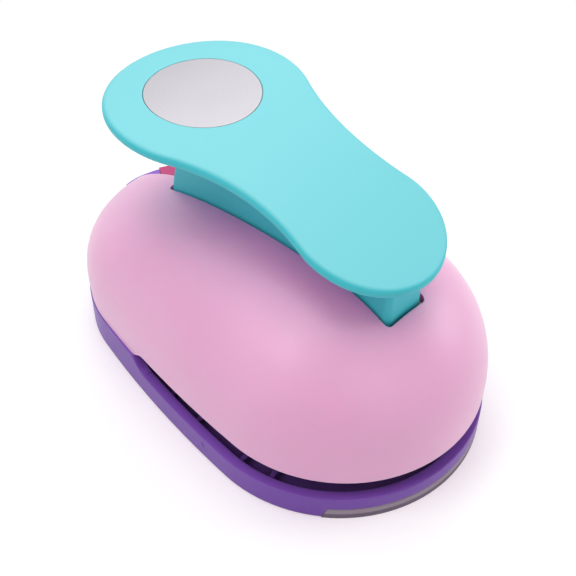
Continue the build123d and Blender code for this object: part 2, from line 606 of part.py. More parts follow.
# Pivot pin with a head on one side and a retaining ring on the other
with BuildPart() as pivot_pin:
    pin_tail = EAR_OUTER + CLIP_THICK + PIN_TAIL
    with BuildSketch(Plane.YZ.offset(-EAR_OUTER)):
        with Locations((PIVOT_Y, PIVOT_Z)):
            Circle(PIN_RADIUS)
    extrude(amount=EAR_OUTER + pin_tail)
    with BuildSketch(Plane.YZ.offset(-EAR_OUTER - PIN_HEAD)):
        with Locations((PIVOT_Y, PIVOT_Z)):
            Circle(PIN_HEAD_RADIUS)
    extrude(amount=PIN_HEAD)

with BuildPart() as pin_clip:
    with BuildSketch(Plane.YZ.offset(EAR_OUTER)):
        with Locations((PIVOT_Y, PIVOT_Z)):
            Circle(CLIP_RADIUS)
            Circle(PIN_RADIUS + PIN_FIT, mode=Mode.SUBTRACT)
    extrude(amount=CLIP_THICK)

# Recess in the palm pad for the disc
with BuildPart() as disc_recess:
    add(columns(DISC_POINT, 0, PLATE_APEX_Z, DISC_RADIUS + DISC_GAP))
    add(arched_slab(DISC_THICK), mode=Mode.INTERSECT)

# Lever: arched palm plate on a box web whose lug turns on the pivot pin
keeper_angle = radians(LEVER_SWING) + asin((BOLT_CENTRE_Z - PIVOT_Z) / WEB_ARC)
keeper_normal = (0, cos(keeper_angle), sin(keeper_angle))
keeper_plane = Plane((0, PIVOT_Y, PIVOT_Z), x_dir=(1, 0, 0), z_dir=keeper_normal)
with BuildPart() as lever:
    with BuildSketch(Plane.XY.offset(PLATE_APEX_Z)):
        add(pad_outline())
    extrude(amount=-PLATE_APEX_Z)
    add(arched_slab(PLATE_THICK), mode=Mode.INTERSECT)
    fillet(lever.faces().sort_by(Axis.Z)[-1].outer_wire().edges(), PLATE_EDGE_ROUND)
    add(disc_recess.part, mode=Mode.SUBTRACT)
    with BuildSketch(Plane.YZ):
        with BuildLine():
            Polyline(
                (WEB_FRONT, PLATE_APEX_Z),
                (WEB_FRONT, NECK_Z),
                (PIVOT_Y, PIVOT_Z + LUG_ROUND),
                (PIVOT_Y, WEB_BOTTOM),
                (PIVOT_Y + WEB_ARC, WEB_BOTTOM),
                (PIVOT_Y + WEB_ARC, PLATE_APEX_Z),
                close=True,
            )
        make_face()
        with Locations((PIVOT_Y, PIVOT_Z)):
            Circle(LUG_ROUND)
            Circle(WEB_ARC, mode=Mode.INTERSECT)
        with Locations((PLATE_APEX_Y, PLATE_CENTRE_Z)):
            Circle(PLATE_ARC - PLATE_THICK / 2, mode=Mode.INTERSECT)
    extrude(amount=WEB_WIDTH / 2, both=True)
    corner_band = (WEB_FRONT - EDGE_TOLERANCE, WEB_FRONT + EDGE_TOLERANCE)
    fillet(lever.edges().filter_by(Axis.Z).filter_by_position(Axis.Y, *corner_band), WEB_CORNER)
    with BuildSketch(Plane.YZ):
        with Locations((PIVOT_Y, PIVOT_Z)):
            Circle(WEB_ARC - WEB_WALL)
        with Locations((PLATE_APEX_Y, PLATE_CENTRE_Z)):
            Circle(PLATE_ARC - PLATE_THICK - WEB_WALL, mode=Mode.INTERSECT)
        with Locations((CAVITY_FRONT, 0)):
            Rectangle(FAR, FAR, align=(Align.MIN, Align.CENTER), mode=Mode.INTERSECT)
    extrude(amount=WEB_WIDTH / 2 - WEB_WALL, both=True, mode=Mode.SUBTRACT)
    with BuildSketch(Plane.YZ):
        with Locations((PIVOT_Y, PIVOT_Z)):
            Circle(PIN_RADIUS + PIN_FIT)
        with Locations((PUNCH_Y, PIVOT_Z)):
            Circle(AXLE_RADIUS + SCREW_FIT)
    extrude(amount=WEB_WIDTH, both=True, mode=Mode.SUBTRACT)
    with BuildSketch(keeper_plane.offset(WEB_ARC - 2 * WEB_WALL)):
        Rectangle(WEB_WIDTH - 2 * WEB_WALL, BOLT_HEIGHT + 2 * KEEPER_GAP)
    extrude(amount=3 * WEB_WALL, mode=Mode.SUBTRACT)

# Satin disc let into the palm pad
with BuildPart() as lever_disc:
    add(columns(DISC_POINT, 0, PLATE_APEX_Z, DISC_RADIUS))
    add(arched_slab(DISC_THICK), mode=Mode.INTERSECT)

# Roller in the web, and its axle
with BuildPart() as press_roller:
    roller_half = WEB_WIDTH / 2 - WEB_WALL - ROLLER_SIDE_GAP
    with BuildSketch(Plane.YZ):
        with Locations((PUNCH_Y, PIVOT_Z)):
            Circle(ROLLER_RADIUS)
            Circle(AXLE_RADIUS + AXLE_FIT, mode=Mode.SUBTRACT)
    extrude(amount=roller_half, both=True)

with BuildPart() as roller_axle:
    with BuildSketch(Plane.YZ):
        with Locations((PUNCH_Y, PIVOT_Z)):
            Circle(AXLE_RADIUS)
    extrude(amount=WEB_WIDTH / 2, both=True)

# Screw bosses of the cover and the side walls of its lock pocket, both kept under the dome
outer_dome = dome(0)
with BuildPart() as cover_inside:
    add(columns(COVER_FRONT_POINTS, GUIDE_TOP, FAR, BOSS_RADIUS))
    add(columns(COVER_REAR_POINTS, REAR_RIM, FAR, BOSS_RADIUS))
    with Locations((POCKET_LEFT - COVER_WALL, POCKET_FRONT - COVER_WALL, HOUSING_TOP + WINDOW_GAP)):
        pocket_width = POCKET_RIGHT - POCKET_LEFT + 2 * COVER_WALL
        Box(pocket_width, FAR, FAR, align=CORNER)
    add(outer_dome, mode=Mode.INTERSECT)

# Top cover: domed shell with the lever slot, raised mouth edge and the open lock pocket at the rear
with BuildPart() as top_cover:
    add(outer_dome)
    add(dome(COVER_WALL), mode=Mode.SUBTRACT)
    add(side_cut(MOUTH_EDGE, REAR_RIM, 0), mode=Mode.SUBTRACT)
    add(cover_inside.part)
    with BuildSketch(Plane.XY.offset(COVER_EQUATOR)):
        with Locations((0, (SLOT_FRONT + SLOT_REAR) / 2)):
            RectangleRounded(SLOT_WIDTH, SLOT_REAR - SLOT_FRONT, SLOT_CORNER)
    extrude(amount=FAR, mode=Mode.SUBTRACT)
    with Locations((POCKET_LEFT, POCKET_FRONT, 0)):
        Box(POCKET_RIGHT - POCKET_LEFT, FAR, FAR, align=CORNER, mode=Mode.SUBTRACT)
    front_hole_top = front_seat + COVER_SCREW_LENGTH + BOSS_HOLE_EXTRA
    add(columns(COVER_FRONT_POINTS, GUIDE_TOP, front_hole_top, HOLE_RADIUS), mode=Mode.SUBTRACT)
    rear_hole_top = POST_SEAT + COVER_SCREW_LENGTH + BOSS_HOLE_EXTRA
    add(columns(COVER_REAR_POINTS, REAR_RIM, rear_hole_top, HOLE_RADIUS), mode=Mode.SUBTRACT)

with BuildPart() as cover_screws:
    add(screws(COVER_FRONT_POINTS, front_seat, COVER_SCREW_LENGTH, turn=180))
    add(screws(COVER_REAR_POINTS, POST_SEAT, COVER_SCREW_LENGTH, turn=180))

# Tunnel that guides the lock bolt under the deck of the housing
with BuildPart() as bolt_tunnel:
    tunnel_width = BOLT_WIDTH + 2 * BOLT_FIT
    tunnel_height = BOLT_HEIGHT + 2 * BOLT_FIT
    with BuildSketch(LOCK_PLANE.offset(BOLT_Z - BOLT_FIT - RAIL_WALL)):
        with Locations((TUNNEL_TIP, 0)):
            outer_width = tunnel_width + 2 * RAIL_WALL
            Rectangle(TUNNEL_END - TUNNEL_TIP, outer_width, align=(Align.MIN, Align.CENTER))
    extrude(amount=HOUSING_TOP - DECK_THICK - BOLT_Z + BOLT_FIT + RAIL_WALL)
    with BuildSketch(LOCK_PLANE.offset(BOLT_Z - BOLT_FIT)):
        Rectangle(FAR, tunnel_width)
    extrude(amount=tunnel_height, mode=Mode.SUBTRACT)

# Lock housing: block at the rear with a foot, an outer wall and a deck slotted for the button
with BuildPart() as lock_housing:
    add(egg_block(-BASE_LIP, REAR_RIM, HOUSING_TOP))
    fillet(lock_housing.faces().sort_by(Axis.Z)[-1].edges(), HOUSING_ROUND)
    deck_bottom = HOUSING_TOP - DECK_THICK
    add(egg_block(BASE_INNER, REAR_RIM + HOUSING_FLANGE, deck_bottom), mode=Mode.SUBTRACT)
    add(egg_block(HOUSING_FLANGE_INSET, REAR_RIM, deck_bottom), mode=Mode.SUBTRACT)
    with Locations((POCKET_LEFT + WINDOW_GAP, POCKET_FRONT + WINDOW_GAP, REAR_RIM)):
        housing_width = POCKET_RIGHT - POCKET_LEFT - 2 * WINDOW_GAP
        Box(housing_width, FAR, FAR, align=CORNER, mode=Mode.INTERSECT)
    with BuildSketch(Plane.XZ):
        deck_end = POCKET_LEFT + WINDOW_GAP
        taper_bottom = HOUSING_TOP - DECK_TAPER
        taper_end = deck_end + DECK_TAPER_LENGTH
        with BuildLine():
            Polyline((deck_end, HOUSING_TOP), (deck_end, taper_bottom), (taper_end, HOUSING_TOP), close=True)
        make_face()
    extrude(amount=-FAR, mode=Mode.SUBTRACT)
    add(bolt_tunnel.part)
    with BuildSketch(LOCK_PLANE.offset(BOLT_Z - BOLT_FIT)):
        with Locations((TUNNEL_END, 0)):
            Rectangle(FAR, BUTTON_WIDTH + 2 * BOLT_FIT, align=(Align.MIN, Align.CENTER))
    extrude(amount=FAR, mode=Mode.SUBTRACT)
    housing_hole_top = POST_SEAT + HOUSING_SCREW_LENGTH + BOSS_HOLE_EXTRA
    add(columns(HOUSING_POINTS, REAR_RIM + HOUSING_FLANGE, housing_hole_top, BOSS_RADIUS))
    screw_end = housing_hole_top - BOSS_HOLE_EXTRA
    add(columns(HOUSING_POINTS, REAR_RIM, screw_end, HOLE_RADIUS), mode=Mode.SUBTRACT)

housing_screws = screws(HOUSING_POINTS, POST_SEAT, HOUSING_SCREW_LENGTH, turn=180)

# Lock button in the rear wall, with a bolt that reaches in to the web
with BuildPart() as lock_button:
    with BuildSketch(LOCK_PLANE.offset(BOLT_Z)):
        with Locations((BOLT_TIP, 0)):
            Rectangle(BUTTON_INNER - BOLT_TIP, BOLT_WIDTH, align=(Align.MIN, Align.CENTER))
    extrude(amount=BOLT_HEIGHT)
    with BuildSketch(LOCK_PLANE.offset(BOLT_Z)):
        with Locations((BUTTON_INNER, 0)):
            button_length = WALL_REACH + BUTTON_PROUD - BUTTON_INNER
            Rectangle(button_length, BUTTON_WIDTH, align=(Align.MIN, Align.CENTER))
    extrude(amount=BUTTON_HEIGHT)
    fillet(lock_button.faces().sort_by(Axis(LOCK_PLANE.origin, LOCK_DIRECTION))[-1].edges(), BUTTON_ROUND)

os.makedirs("parts", exist_ok=True)
pieces = {
    "base_shell": base_shell.part,
    "bottom_cover": bottom_cover.part,
    "bottom_screws": bottom_screws,
    "die_plate": die_plate.part,
    "throat_spacer": throat_spacer.part,
    "guide_plate": guide_plate.part,
    "frame_screws": frame_screws,
    "punch_block": punch_block.part,
    "pressure_bar": pressure_bar.part,
    "bar_screws": bar_screws,
    "spring_posts": spring_posts,
    "post_caps": post_caps.part,
    "return_springs": return_springs.part,
    "pivot_bracket": pivot_bracket.part,
    "bracket_screws": bracket_screws,
    "pivot_pin": pivot_pin.part,
    "pin_clip": pin_clip.part,
    "lever": lever.part,
    "lever_disc": lever_disc.part,
    "press_roller": press_roller.part,
    "roller_axle": roller_axle.part,
    "top_cover": top_cover.part,
    "cover_screws": cover_screws.part,
    "lock_housing": lock_housing.part,
    "housing_screws": housing_screws,
    "lock_button": lock_button.part,
}
for name, piece in pieces.items():
    piece.label = name
    export_step(piece, f"parts/{name}.step")
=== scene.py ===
"""Looks, light and camera for a craft lever punch that cuts one round shape out of paper."""

import logging
import math
from dataclasses import dataclass
from enum import Enum
from typing import Any, ClassVar

import bmesh
import bpy
from mathutils import Matrix, Vector

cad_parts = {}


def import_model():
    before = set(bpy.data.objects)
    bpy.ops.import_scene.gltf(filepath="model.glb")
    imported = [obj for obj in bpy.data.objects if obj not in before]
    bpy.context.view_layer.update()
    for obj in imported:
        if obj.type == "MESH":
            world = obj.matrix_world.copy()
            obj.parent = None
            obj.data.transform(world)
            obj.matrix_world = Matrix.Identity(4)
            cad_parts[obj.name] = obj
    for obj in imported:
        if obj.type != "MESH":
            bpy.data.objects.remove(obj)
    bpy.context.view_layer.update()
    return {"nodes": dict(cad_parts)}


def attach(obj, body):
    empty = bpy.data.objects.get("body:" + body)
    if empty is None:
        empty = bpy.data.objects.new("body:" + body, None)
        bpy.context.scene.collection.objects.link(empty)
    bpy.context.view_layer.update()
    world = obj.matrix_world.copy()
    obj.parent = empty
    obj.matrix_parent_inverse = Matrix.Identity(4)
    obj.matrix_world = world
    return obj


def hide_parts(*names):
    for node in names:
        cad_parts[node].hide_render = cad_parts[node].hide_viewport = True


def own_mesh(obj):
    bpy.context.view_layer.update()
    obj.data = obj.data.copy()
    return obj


FRAME: dict[str, Any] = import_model()
LOG = logging.getLogger("lever_punch")
MM = 0.001
WHITE = (1.0, 1.0, 1.0, 1.0)
SHARP_DEG = 35.0
# Sockets of a Mix node in colour mode: its share, its two colours and its result.
MIX_SHARE, MIX_BASE, MIX_TONE, MIX_RESULT = 0, 6, 7, 2

Pair = tuple[float, float]
Triple = tuple[float, float, float]
Rgba = tuple[float, float, float, float]


class Body(Enum):
    """The CAD body that the added pieces ride on."""

    FRAME = "frame"


def linear(code: str) -> Rgba:
    """Turn an sRGB hex colour into linear RGBA.

    Args:
        code: Six hex digits after a hash sign.

    Returns:
        Linear red, green, blue and an alpha of one.
    """
    parts = [int(code[i : i + 2], 16) / 255 for i in (1, 3, 5)]
    red, green, blue = [
        c / 12.92 if c <= 0.04045 else ((c + 0.055) / 1.055) ** 2.4 for c in parts
    ]
    return red, green, blue, 1.0


def add_node(
    tree: bpy.types.NodeTree,
    kind: str,
    settings: dict[str | int, Any] | None = None,
    links: dict[str | int, bpy.types.NodeSocket] | None = None,
) -> bpy.types.Node:
    """Add a shader node with its settings and links.

    Args:
        tree: The node tree that gets the node.
        kind: The node's type name without its ShaderNode prefix.
        settings: Values by attribute name, or by input name or number.
        links: Output sockets of other nodes by input name or number.

    Returns:
        The new node.
    """
    node = tree.nodes.new("ShaderNode" + kind)
    for key, value in (settings or {}).items():
        if isinstance(key, str) and hasattr(node, key):
            setattr(node, key, value)
        else:
            node.inputs[key].default_value = value
    for key, socket in (links or {}).items():
        tree.links.new(socket, node.inputs[key])
    return node


def map_range(
    tree: bpy.types.NodeTree,
    value: bpy.types.NodeSocket,
    source: Pair,
    target: Pair = (0.0, 1.0),
) -> bpy.types.NodeSocket:
    """Carry a value from one span to another, held at the ends.

    Args:
        tree: The material's node tree.
        value: The value to carry.
        source: The span that it comes from.
        target: The span that it goes to.

    Returns:
        The value in the target span.
    """
    settings = {
        "From Min": source[0],
        "From Max": source[1],
        "To Min": target[0],
        "To Max": target[1],
    }
    return add_node(tree, "MapRange", settings, {"Value": value}).outputs["Result"]


def mix(
    tree: bpy.types.NodeTree,
    share: bpy.types.NodeSocket,
    base: bpy.types.NodeSocket | str,
    tone: str,
) -> bpy.types.NodeSocket:
    """Blend a tone into a colour.

    Args:
        tree: The material's node tree.
        share: How much of the tone shows, from zero to one.
        base: The colour below, as a socket or as a hex colour.
        tone: The hex colour that is blended in.

    Returns:
        The blended colour.
    """
    settings: dict[str | int, Any] = {"data_type": "RGBA", MIX_TONE: linear(tone)}
    links: dict[str | int, bpy.types.NodeSocket] = {MIX_SHARE: share}
    if isinstance(base, str):
        settings[MIX_BASE] = linear(base)
    else:
        links[MIX_BASE] = base
    return add_node(tree, "Mix", settings, links).outputs[MIX_RESULT]


def noise(
    tree: bpy.types.NodeTree,
    place: bpy.types.NodeSocket,
    size_mm: float,
    detail: float,
    roughness: float,
) -> bpy.types.NodeSocket:
    """Draw a cloudy pattern.

    Args:
        tree: The material's node tree.
        place: The coordinates that it is drawn in.
        size_mm: The size of its clouds.
        detail: How many finer layers it has.
        roughness: How strong the finer layers are.

    Returns:
        The pattern's value.
    """
    settings = {"Scale": 1 / (size_mm * MM), "Detail": detail, "Roughness": roughness}
    return add_node(tree, "TexNoise", settings, {"Vector": place}).outputs["Fac"]


def bump(
    tree: bpy.types.NodeTree,
    height: bpy.types.NodeSocket,
    normal: bpy.types.NodeSocket,
    strength: float,
    depth_mm: float,
) -> bpy.types.NodeSocket:
    """Give a surface a fine relief.

    Args:
        tree: The material's node tree.
        height: The relief's pattern.
        normal: The normal that it is laid on.
        strength: How much of it shows.
        depth_mm: Its depth.

    Returns:
        The normal with the relief.
    """
    settings = {"Strength": strength, "Distance": depth_mm * MM}
    links = {"Height": height, "Normal": normal}
    return add_node(tree, "Bump", settings, links).outputs["Normal"]


def rounded(tree: bpy.types.NodeTree, radius_mm: float, samples: int) -> bpy.types.NodeSocket:
    """Round the sharp edges in the shading."""
    return add_node(tree, "Bevel", {"samples": samples, "Radius": radius_mm * MM}).outputs["Normal"]


def blank_material(name: str) -> tuple[bpy.types.Material, bpy.types.NodeTree]:
    """Make a material with an empty node tree.

    Args:
        name: The finish's name.

    Returns:
        The material and its node tree.
    """
    material = bpy.data.materials.new(name)
    material.use_nodes = True
    material.node_tree.nodes.clear()
    return material, material.node_tree


def close_surface(
    tree: bpy.types.NodeTree,
    settings: dict[str | int, Any],
    colour: bpy.types.NodeSocket,
    gloss: bpy.types.NodeSocket,
    normal: bpy.types.NodeSocket,
) -> None:
    """End a material with its surface.

    Args:
        tree: The material's node tree.
        settings: The surface's fixed values.
        colour: Its colour.
        gloss: Its roughness.
        normal: Its normal with edges and relief.
    """
    links = {"Base Color": colour, "Roughness": gloss, "Normal": normal}
    shader = add_node(tree, "BsdfPrincipled", settings, links)
    add_node(tree, "OutputMaterial", {}, {"Surface": shader.outputs["BSDF"]})


@dataclass(frozen=True)
class MouldedPlastic:
    """ABS from a polished or spark-eroded mould: even colour, soft gloss and painted highlights on
    rounded edges.

    Attributes:
        name: The finish's name.
        colour: Its main colour.
        tint: The colour of its faint flow clouds.
        edge: The painted highlight tone of rounded edges.
        roughness: The mean roughness.
        grain_mm: The size of the mould's grain, drawn coarser than real so that it shows at all.
        grain_depth_mm: The depth of that grain.
        edge_mm: The radius that edges are shaded with.
        edge_highlight_share: How much of the painted edge highlight shows.
        cloud_mm: The size of the flow clouds.
        gleam: The strength of reflections.
        painted_upward_light: The painted light tone of faces that look up, or nothing.
        highlight_band: The painted highlight tone of a band above a height, or nothing.
        highlight_band_mm: The height where that painted highlight band starts.
        painted_shade: The painted shade tone of places that see little of the surround.
        painted_shade_mm: How near other surfaces have to be to count as hiding it; zero for no
            painted shade.
        painted_shade_open: The open shares of the surround where the painted shade is full and
            where it is gone.
        painted_shade_share: How much of the painted shade shows at its fullest.
        haze: The pale sheen at grazing angles.
        bleed: How much light spreads under the surface.
    """

    name: str
    colour: str
    tint: str
    edge: str
    roughness: float
    grain_mm: float
    grain_depth_mm: float
    edge_mm: float = 0.35
    edge_highlight_share: float = 0.35
    cloud_mm: float = 30.0
    gleam: float = 0.5
    painted_upward_light: str = ""
    highlight_band: str = ""
    highlight_band_mm: float = 0.0
    # Near-black painted shade unless a material sets its own.
    painted_shade: str = "#0d0716"
    painted_shade_mm: float = 0.0
    painted_shade_open: Pair = (0.12, 0.42)
    painted_shade_share: float = 0.85
    haze: float = 0.0
    bleed: float = 0.0

    IOR: ClassVar[float] = 1.53
    BLEED_MM: ClassVar[float] = 5.0
    BLEED_RGB: ClassVar[Triple] = (1.0, 0.25, 0.5)
    # Detail and roughness of the patterns.
    CLOUD_PATTERN: ClassVar[Pair] = (2.0, 0.5)
    GRAIN_PATTERN: ClassVar[Pair] = (3.0, 0.6)
    # The part of each pattern's values that is used.
    CLOUD_SPAN: ClassVar[Pair] = (0.35, 0.65)
    GRAIN_SPAN: ClassVar[Pair] = (0.3, 0.7)
    # The cosine to straight up where the painted upward light starts and where it is full.
    UPWARD_LIGHT_SPAN: ClassVar[Pair] = (0.60, 0.95)
    # The cosine between flat and rounded normal where the painted edge highlight starts and where
    # it is full.
    EDGE_HIGHLIGHT_SPAN: ClassVar[Pair] = (1.0, 0.75)
    HIGHLIGHT_BAND_BLUR_MM: ClassVar[float] = 0.2
    GLOSS_SWING: ClassVar[float] = 0.04
    GRAIN_STRENGTH: ClassVar[float] = 0.6
    EDGE_SAMPLES: ClassVar[int] = 6
    PAINTED_SHADE_SAMPLES: ClassVar[int] = 8

    def moulded_tone_and_painted_light(
        self, tree: bpy.types.NodeTree, coords: bpy.types.Node
    ) -> bpy.types.NodeSocket:
        """Lay the colour with its clouds, its painted light on faces that look up and its painted
        highlight band.

        Args:
            tree: The material's node tree.
            coords: The node with the piece's coordinates.

        Returns:
            The colour before the painted edge highlights and the painted shade.
        """
        place = coords.outputs["Object"]
        clouds = noise(tree, place, self.cloud_mm, *self.CLOUD_PATTERN)
        shade = mix(tree, map_range(tree, clouds, self.CLOUD_SPAN), self.colour, self.tint)
        # Painted light: faces that look up take a paler tone.
        if self.painted_upward_light:
            normal = add_node(tree, "SeparateXYZ", {}, {"Vector": coords.outputs["Normal"]})
            upward = map_range(tree, normal.outputs["Z"], self.UPWARD_LIGHT_SPAN)
            shade = mix(tree, upward, shade, self.painted_upward_light)
        # Painted highlight: a paler band above a set height.
        if self.highlight_band:
            height = add_node(tree, "SeparateXYZ", {}, {"Vector": place})
            blur = (
                (self.highlight_band_mm - self.HIGHLIGHT_BAND_BLUR_MM) * MM,
                (self.highlight_band_mm + self.HIGHLIGHT_BAND_BLUR_MM) * MM,
            )
            shade = mix(tree, map_range(tree, height.outputs["Z"], blur), shade, self.highlight_band)
        return shade

    def painted_highlight_and_shade(
        self,
        tree: bpy.types.NodeTree,
        shade: bpy.types.NodeSocket,
        normal: bpy.types.NodeSocket,
    ) -> bpy.types.NodeSocket:
        """Paint highlights on the edges and paint shade into the hollows.

        Args:
            tree: The material's node tree.
            shade: The colour so far.
            normal: The normal with rounded edges.

        Returns:
            The final colour.
        """
        # Painted highlight: where the rounded normal turns from the flat one, the paler edge tone
        # is blended in.
        flat = add_node(tree, "NewGeometry").outputs["Normal"]
        turn = add_node(tree, "VectorMath", {"operation": "DOT_PRODUCT"}, {0: normal, 1: flat})
        share = map_range(tree, turn.outputs["Value"], self.EDGE_HIGHLIGHT_SPAN, (0.0, self.edge_highlight_share))
        shade = mix(tree, share, shade, self.edge)
        # Painted shade: places that see little of the surround take the darker tone.
        if self.painted_shade_mm:
            settings = {"samples": self.PAINTED_SHADE_SAMPLES, "Distance": self.painted_shade_mm * MM}
            surround = add_node(tree, "AmbientOcclusion", settings).outputs["AO"]
            depth = map_range(tree, surround, self.painted_shade_open, (self.painted_shade_share, 0.0))
            shade = mix(tree, depth, shade, self.painted_shade)
        return shade

    def build(self) -> bpy.types.Material:
        """Make the material from its tones, its gloss and its grain.

        Returns:
            The material.
        """
        material, tree = blank_material(self.name)
        coords = add_node(tree, "TexCoord")
        normal = rounded(tree, self.edge_mm, self.EDGE_SAMPLES)
        grain = noise(tree, coords.outputs["Object"], self.grain_mm, *self.GRAIN_PATTERN)
        swing = (self.roughness - self.GLOSS_SWING, self.roughness + self.GLOSS_SWING)
        settings = {
            "IOR": self.IOR,
            "Specular IOR Level": self.gleam,
            "Sheen Weight": self.haze,
            "Subsurface Weight": self.bleed,
            "Subsurface Radius": self.BLEED_RGB,
            "Subsurface Scale": self.BLEED_MM * MM,
        }
        close_surface(
            tree,
            settings,
            colour=self.painted_highlight_and_shade(tree, self.moulded_tone_and_painted_light(tree, coords), normal),
            gloss=map_range(tree, grain, self.GRAIN_SPAN, swing),
            normal=bump(tree, grain, normal, self.GRAIN_STRENGTH, self.grain_depth_mm),
        )
        return material


@dataclass(frozen=True)
class WorkedSteel:
    """Steel with the marks of its making: rolled sheet, ground steel, drawn wire or black screws.

    Attributes:
        name: The finish's name.
        colour: Its main colour.
        stain: The colour of its marks.
        roughness: The mean roughness.
        mark_mm: The size of the marks, drawn coarser than real so that they show at all.
        stretch: How the pattern is scaled along each axis; below one draws the marks out.
    """

    name: str
    colour: str
    stain: str
    roughness: float
    mark_mm: float
    stretch: Triple = (1.0, 1.0, 1.0)

    # Detail and roughness of the marks, and the part of their values that is used.
    MARK_PATTERN: ClassVar[Pair] = (4.0, 0.65)
    MARK_SPAN: ClassVar[Pair] = (0.3, 0.7)
    MARK_DEPTH_MM: ClassVar[float] = 0.01
    MARK_STRENGTH: ClassVar[float] = 0.5
    GLOSS_SWING: ClassVar[float] = 0.08
    EDGE_MM: ClassVar[float] = 0.2
    EDGE_SAMPLES: ClassVar[int] = 4

    def build(self) -> bpy.types.Material:
        """Make the metal with drawn-out marks in its colour, gloss and relief.

        Returns:
            The material.
        """
        material, tree = blank_material(self.name)
        place = add_node(tree, "TexCoord").outputs["Object"]
        drawn = add_node(tree, "Mapping", {"Scale": self.stretch}, {"Vector": place})
        marks = noise(tree, drawn.outputs["Vector"], self.mark_mm, *self.MARK_PATTERN)
        swing = (self.roughness - self.GLOSS_SWING, self.roughness + self.GLOSS_SWING)
        normal = rounded(tree, self.EDGE_MM, self.EDGE_SAMPLES)
        close_surface(
            tree,
            {"Metallic": 1.0},
            colour=mix(tree, marks, self.colour, self.stain),
            gloss=map_range(tree, marks, self.MARK_SPAN, swing),
            normal=bump(tree, marks, normal, self.MARK_STRENGTH, self.MARK_DEPTH_MM),
        )
        return material


@dataclass(frozen=True)
class SatinDisc:
    """Anodised aluminium disc with a fine spun face: satin silver that shades softly across.

    Attributes:
        name: The finish's name.
        colour: Its main colour.
        shade: The colour of its faint clouds.
        roughness: The mean roughness.
        ring_mm: The spacing of its spun rings, per radian of their wave.
        centre_mm: The middle of the rings.
    """

    name: str
    colour: str
    shade: str
    roughness: float
    ring_mm: float
    centre_mm: Triple

    # The phase that a wave texture of scale one runs through in a metre.
    WAVE_PHASE: ClassVar[float] = 20.0
    RING_WOBBLE: ClassVar[float] = 0.6
    RING_DETAIL: ClassVar[float] = 2.0
    RING_DETAIL_SCALE: ClassVar[float] = 2.0
    RING_DEPTH_MM: ClassVar[float] = 0.004
    RING_STRENGTH: ClassVar[float] = 0.05
    CLOUD_MM: ClassVar[float] = 14.0
    CLOUD_PATTERN: ClassVar[Pair] = (3.0, 0.5)
    GLOSS_SWING: ClassVar[float] = 0.01
    EDGE_MM: ClassVar[float] = 0.25
    EDGE_SAMPLES: ClassVar[int] = 4

    def build(self) -> bpy.types.Material:
        """Make the disc's metal; its rings are drawn coarser than real so that they show at all.

        Returns:
            The material.
        """
        material, tree = blank_material(self.name)
        place = add_node(tree, "TexCoord").outputs["Object"]
        centre = tuple(-c * MM for c in self.centre_mm)
        moved = add_node(tree, "Mapping", {"Location": centre}, {"Vector": place})
        centred = moved.outputs["Vector"]
        settings = {
            "wave_type": "RINGS",
            "rings_direction": "Z",
            "Scale": 1 / (self.ring_mm * MM) / self.WAVE_PHASE,
            "Distortion": self.RING_WOBBLE,
            "Detail": self.RING_DETAIL,
            "Detail Scale": self.RING_DETAIL_SCALE,
        }
        rings = add_node(tree, "TexWave", settings, {"Vector": centred}).outputs["Fac"]
        clouds = noise(tree, centred, self.CLOUD_MM, *self.CLOUD_PATTERN)
        swing = (self.roughness - self.GLOSS_SWING, self.roughness + self.GLOSS_SWING)
        normal = rounded(tree, self.EDGE_MM, self.EDGE_SAMPLES)
        close_surface(
            tree,
            {"Metallic": 1.0},
            colour=mix(tree, clouds, self.colour, self.shade),
            gloss=map_range(tree, rings, (0.0, 1.0), swing),
            normal=bump(tree, rings, normal, self.RING_STRENGTH, self.RING_DEPTH_MM),
        )
        return material


# Polished mould with a light texture: the dome shows a broad soft sheen and pales towards its
# outline;
# painted highlights brighten its edges, and painted shade turns it a deeper pink in the lever's
# shade.
PINK = MouldedPlastic(
    name="pink_abs_satin",
    colour="#f0afd5",
    tint="#edabd2",
    edge="#f8e8f2",
    roughness=0.38,
    grain_mm=0.45,
    grain_depth_mm=0.006,
    edge_highlight_share=0.6,
    painted_shade="#f088c2",
    painted_shade_mm=30.0,
    painted_shade_open=(0.35, 0.80),
    painted_shade_share=1.0,
    haze=0.3,
    bleed=0.3,
)
# Satin moulding: nearly even turquoise with a soft roll-off at the edges; painted light makes faces
# that look up, such as the pad, paler, and painted highlights brighten the edges.
TURQUOISE = MouldedPlastic(
    name="turquoise_abs_satin",
    colour="#46c6d0",
    tint="#42c3cd",
    edge="#64dee3",
    roughness=0.40,
    grain_mm=0.40,
    grain_depth_mm=0.005,
    gleam=0.25,
    painted_upward_light="#73c9d1",
)
# Moulded tray: satin purple; painted highlights brighten its rims, painted light brightens faces
# that look up, and painted shade makes it nearly black deep in the mouth.
PURPLE = MouldedPlastic(
    name="purple_abs_satin",
    colour="#7645ab",
    tint="#7242a7",
    edge="#9a78c2",
    roughness=0.38,
    grain_mm=0.45,
    grain_depth_mm=0.008,
    edge_mm=0.7,
    gleam=0.3,
    painted_upward_light="#8654be",
    painted_shade_mm=14.0,
)
# Matte moulding of the plate underneath: warm grey, with a painted highlight band along the upper
# edge of its lip where its chamfer catches the light, and painted highlights on its edges.
GREY = MouldedPlastic(
    name="grey_abs_matte",
    colour="#68586d",
    tint="#645569",
    edge="#b3a6b4",
    roughness=0.55,
    grain_mm=0.6,
    grain_depth_mm=0.015,
    edge_mm=0.6,
    edge_highlight_share=0.4,
    highlight_band="#9b8b99",
    highlight_band_mm=1.9,
)
# Gloss-moulded lock button, a deep crimson pink, with painted highlights on its edges.
CRIMSON = MouldedPlastic(
    name="crimson_abs_gloss",
    colour="#b83672",
    tint="#b2326c",
    edge="#e2a3c2",
    roughness=0.30,
    grain_mm=0.5,
    grain_depth_mm=0.004,
    gleam=0.2,
)
